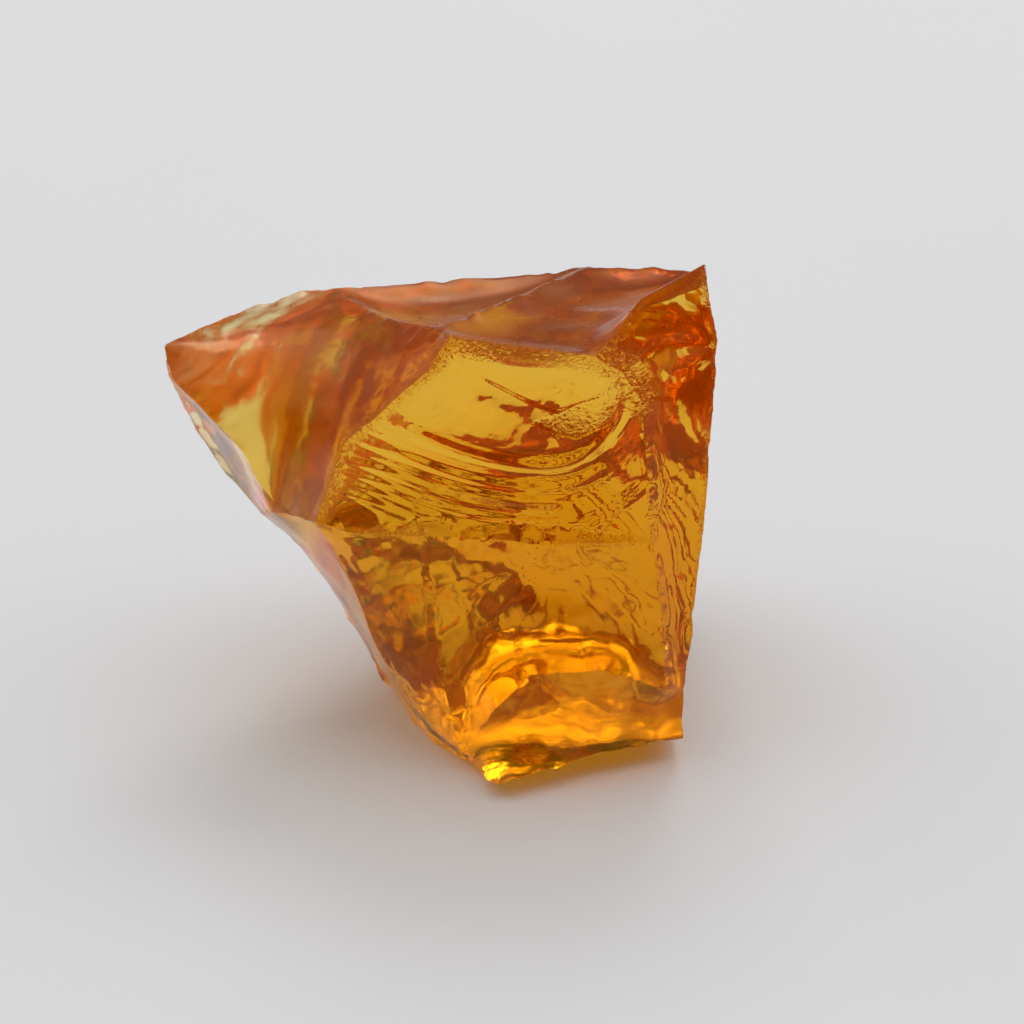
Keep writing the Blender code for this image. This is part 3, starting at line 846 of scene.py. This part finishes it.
def fracture_marks_tree():
    """The tree that moves each point along its normal by its ripples, hackles, facets and lumps."""
    tree = bpy.data.node_groups.new("fracture_marks", "GeometryNodeTree")
    io = tree.interface
    io.new_socket("Geometry", in_out="INPUT", socket_type="NodeSocketGeometry")
    for name, value in MARK_SETTINGS.items():
        io.new_socket(name, in_out="INPUT", socket_type="NodeSocketFloat").default_value = value
    io.new_socket("Material", in_out="INPUT", socket_type="NodeSocketMaterial")
    io.new_socket("Geometry", in_out="OUTPUT", socket_type="NodeSocketGeometry")
    given = tree.nodes.new("NodeGroupInput")
    link = tree.links.new

    def stored(name):
        read = node(tree, "GeometryNodeInputNamedAttribute", data_type="FLOAT")
        read.inputs["Name"].default_value = name
        return read.outputs["Attribute"]

    def maths(operation, a, b=None, c=None):
        made = node(tree, "ShaderNodeMath", operation=operation)
        for socket, value in zip(made.inputs, (a, b, c)):
            if value is None:
                continue
            if isinstance(value, (int, float)):
                socket.default_value = value
            else:
                link(value, socket)
        return made.outputs["Value"]

    def clouds(vector, pattern):
        scale, detail, shift = CLOUDS[pattern]
        made = node(tree, "ShaderNodeTexNoise", noise_dimensions="4D")
        made.inputs["Scale"].default_value = scale
        made.inputs["Detail"].default_value = detail
        link(vector, made.inputs["Vector"])
        link(maths("ADD", given.outputs["Seed"], shift), made.inputs["W"])
        return maths("MULTIPLY_ADD", made.outputs["Fac"], 2.0, -1.0)

    position = node(tree, "GeometryNodeInputPosition").outputs["Position"]
    in_mm = node(tree, "ShaderNodeVectorMath", operation="SCALE")
    in_mm.inputs["Scale"].default_value = 1.0 / MM
    link(position, in_mm.inputs[0])
    place = in_mm.outputs["Vector"]

    beat = maths("MULTIPLY", stored("reach"), math.tau)
    phase = maths("MULTIPLY_ADD", clouds(place, "drift"), RIPPLE_DRIFT, beat)
    patchy = maths("MAXIMUM", clouds(place, "patches"), RIPPLE_LEAST)
    ripple = maths("MULTIPLY", maths("MULTIPLY", maths("SINE", phase), patchy),
                   maths("MULTIPLY", stored("ripple"), given.outputs["Ripple Strength"]))

    fan = node(tree, "ShaderNodeCombineXYZ")
    crowding = maths("DIVIDE", given.outputs["Hackles Per Turn"], math.tau)
    link(maths("MULTIPLY", stored("bearing"), crowding), fan.inputs["X"])
    link(maths("MULTIPLY", stored("reach"), HACKLE_FEATHER), fan.inputs["Y"])
    streaks = clouds(fan.outputs["Vector"], "streaks")
    hackle = maths("MULTIPLY", maths("MULTIPLY", streaks, HACKLE_GAIN),
                   maths("MULTIPLY", stored("hackle"), given.outputs["Hackle Strength"]))

    cells = node(tree, "ShaderNodeTexVoronoi", voronoi_dimensions="3D", feature="F1")
    link(place, cells.inputs["Vector"])
    link(maths("DIVIDE", 1.0, given.outputs["Facet Size"]), cells.inputs["Scale"])
    slant = node(tree, "ShaderNodeVectorMath", operation="SUBTRACT")
    link(cells.outputs["Color"], slant.inputs[0])
    slant.inputs[1].default_value = (0.5, 0.5, 0.5)
    arm = node(tree, "ShaderNodeVectorMath", operation="SUBTRACT")
    link(place, arm.inputs[0])
    link(cells.outputs["Position"], arm.inputs[1])
    tilted = node(tree, "ShaderNodeVectorMath", operation="DOT_PRODUCT")
    link(slant.outputs["Vector"], tilted.inputs[0])
    link(arm.outputs["Vector"], tilted.inputs[1])
    crust = maths("ADD", maths("MULTIPLY", stored("crush"), CRUST_GAIN),
                  maths("MULTIPLY", clouds(place, "crust"), CRUST_CLOUDS))
    crust = maths("MAXIMUM", maths("SUBTRACT", crust, CRUST_START), 0.0)
    crust = maths("MINIMUM", crust, stored("crush"))
    slanted = maths("MULTIPLY", tilted.outputs["Value"], given.outputs["Facet Slant"])
    facets = maths("MULTIPLY", slanted, crust)

    lumps = maths("MULTIPLY", clouds(place, "lumps"),
                  maths("MULTIPLY", stored("lump"), given.outputs["Lump Height"]))
    total = maths("ADD", maths("ADD", ripple, hackle), maths("ADD", facets, lumps))
    along = node(tree, "ShaderNodeVectorMath", operation="SCALE")
    link(node(tree, "GeometryNodeInputNormal").outputs["Normal"], along.inputs[0])
    link(maths("MULTIPLY", total, MM), along.inputs["Scale"])
    moved = node(tree, "ShaderNodeVectorMath", operation="ADD")
    link(position, moved.inputs[0])
    link(along.outputs["Vector"], moved.inputs[1])
    above = node(tree, "ShaderNodeVectorMath", operation="MAXIMUM")
    link(moved.outputs["Vector"], above.inputs[0])
    above.inputs[1].default_value = (-1.0, -1.0, 0.0)    # nothing sinks below the floor plane
    move = node(tree, "GeometryNodeSetPosition")
    link(given.outputs["Geometry"], move.inputs["Geometry"])
    link(above.outputs["Vector"], move.inputs["Position"])
    real = node(tree, "GeometryNodeRealizeInstances")
    link(move.outputs["Geometry"], real.inputs["Geometry"])
    finish = node(tree, "GeometryNodeSetMaterial")
    link(real.outputs["Geometry"], finish.inputs["Geometry"])
    link(given.outputs["Material"], finish.inputs["Material"])
    link(finish.outputs["Geometry"], node(tree, "NodeGroupOutput").inputs["Geometry"])
    return tree


marks_tree = fracture_marks_tree()
print("tree", marks_tree.name, "with", len(marks_tree.nodes), "nodes")


# %% [markdown]
# ## The marks are raised and kept
# The tree runs once on the welded stone, and its result is copied out as a plain mesh. Nothing is left
# to be worked out later, so the mesh can be measured, exported and shaded as it is.

# %% The marks are raised and kept
def grown(thing, tree, name, **values):
    """Runs a tree on an object and returns the result as a plain mesh object."""
    modifier = thing.modifiers.new(tree.name, "NODES")
    modifier.node_group = tree
    for item in tree.interface.items_tree:
        if item.in_out == "INPUT" and item.name in values:
            modifier[item.identifier] = values[item.name]
    depsgraph = bpy.context.evaluated_depsgraph_get()
    data = bpy.data.meshes.new_from_object(thing.evaluated_get(depsgraph), depsgraph=depsgraph)
    data.name = name
    thing.modifiers.remove(modifier)
    made = bpy.data.objects.new(name, data)
    bpy.context.scene.collection.objects.link(made)
    return made


SHARP_ANGLE = math.radians(28.0)      # edges bent more than this are kept sharp

stone = grown(blank, marks_tree, "topaz_stone", Material=golden_topaz, **MARK_SETTINGS)
bpy.data.objects.remove(blank)
stone.data.shade_smooth()
stone.data.set_sharp_from_angle(angle=SHARP_ANGLE)
print("stone", len(stone.data.polygons), "triangles")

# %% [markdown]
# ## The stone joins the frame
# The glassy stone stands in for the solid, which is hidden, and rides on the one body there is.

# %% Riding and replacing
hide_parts("rough_topaz")
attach(stone, "root")

# %% [markdown]
# ## The pale floor
# The stone stands on a smooth pale sheet that is wide enough to be all there is to see. It lies a hair
# below the stone, as a broken face rests on a few high points. If the two touched all over, light could
# not get out of the crystal, and the base would turn black.

# %% Floor
FLOOR_GAP = 0.10 * MM
FLOOR_HALF = 2.0
FLOOR_CLOUDS = (22.0, 2.0)      # scale per metre and detail
FLOOR_TONES = ((0.775, 0.776, 0.786, 1.0), (0.795, 0.795, 0.800, 1.0))


def floor_material():
    """A dull pale sheet with very faint clouds."""
    material = bpy.data.materials.new("pale_sheet")
    material.use_nodes = True
    tree = material.node_tree
    shader = tree.nodes["Principled BSDF"]
    shader.inputs["Specular IOR Level"].default_value = 0.2
    shader.inputs["Roughness"].default_value = 0.6
    place = node(tree, "ShaderNodeTexCoord").outputs["Object"]
    shade = node(tree, "ShaderNodeMix", data_type="RGBA")
    shade.inputs["A"].default_value, shade.inputs["B"].default_value = FLOOR_TONES
    tree.links.new(noise_at(tree, place, *FLOOR_CLOUDS), shade.inputs["Factor"])
    tree.links.new(shade.outputs["Result"], shader.inputs["Base Color"])
    return material


floor_corners = [(x * FLOOR_HALF, y * FLOOR_HALF, -FLOOR_GAP)
                 for x, y in ((-1, -1), (1, -1), (1, 1), (-1, 1))]
floor_mesh = bpy.data.meshes.new("floor")
floor_mesh.from_pydata(floor_corners, [], [(0, 1, 2, 3)])
floor_mesh.materials.append(floor_material())
floor = bpy.data.objects.new("floor", floor_mesh)
bpy.context.scene.collection.objects.link(floor)
print("floor", 2 * FLOOR_HALF, "m wide")

# %% [markdown]
# ## Light
# A clear stone shows mostly what surrounds it, so the room matters as much as the lamps. Here it is a
# white tent: bright overhead and behind, dim at the sides and dark all over the onlooker's half. The floor
# close in front of the stone is then lit mostly by what comes through it, which makes the warm glow
# there. One soft lamp from behind and above adds a little more.

# %% Tent and lamp
TENT_COLOUR = (1.0, 1.0, 1.01, 1.0)
TENT_RISE = (0.10, 0.72)      # the height of a direction over which the tent brightens
TENT_DARK = 0.16
TENT_BRIGHT = 1.24
FRONT_LIFT = 0.8           # the dark front gives way to the bright roof as the direction climbs
FRONT_SPAN = (-0.08, 0.6)
FRONT_SHARE = 0.04         # what is left of the brightness on the onlooker's side
BACK_SPAN = (0.60, 0.92)
BACK_SHARE = 0.3           # and on a band low down behind the stone
KEY_PLACE = (0.05, 0.50, 0.60)
KEY_SIZE = (0.35, 0.30)
KEY_POWER = 1.2
BOUNCES = 24               # a ray turns many times inside a clear stone
GLOSSY_BOUNCES = 8

scene = bpy.context.scene
scene.world = bpy.data.worlds.new("tent")
scene.world.use_nodes = True
sky = scene.world.node_tree
tent_cloth = sky.nodes["Background"]
tent_cloth.inputs["Color"].default_value = TENT_COLOUR
direction = node(sky, "ShaderNodeSeparateXYZ")
sky.links.new(node(sky, "ShaderNodeTexCoord").outputs["Generated"], direction.inputs["Vector"])
height, depth = direction.outputs["Z"], direction.outputs["Y"]

roof = ramp(sky, height, TENT_RISE, TENT_DARK, TENT_BRIGHT, "SMOOTHSTEP")
climb = scaled_sum(sky, height, FRONT_LIFT, depth)
front = ramp(sky, climb, FRONT_SPAN, FRONT_SHARE, 1.0, "SMOOTHSTEP")
back = ramp(sky, depth, BACK_SPAN, 1.0, BACK_SHARE, "SMOOTHSTEP")
sky.links.new(product(sky, roof, product(sky, front, back)), tent_cloth.inputs["Strength"])

key_data = bpy.data.lights.new("key", "AREA")
key_data.shape = "RECTANGLE"
key_data.size, key_data.size_y = KEY_SIZE
key_data.energy = KEY_POWER
key = bpy.data.objects.new("key", key_data)
scene.collection.objects.link(key)
aim(key, Vector(KEY_PLACE), Vector((0.0, 0.0, 0.0)))

scene.view_settings.view_transform = "Standard"
scene.cycles.max_bounces = BOUNCES
scene.cycles.transmission_bounces = BOUNCES
scene.cycles.glossy_bounces = GLOSSY_BOUNCES
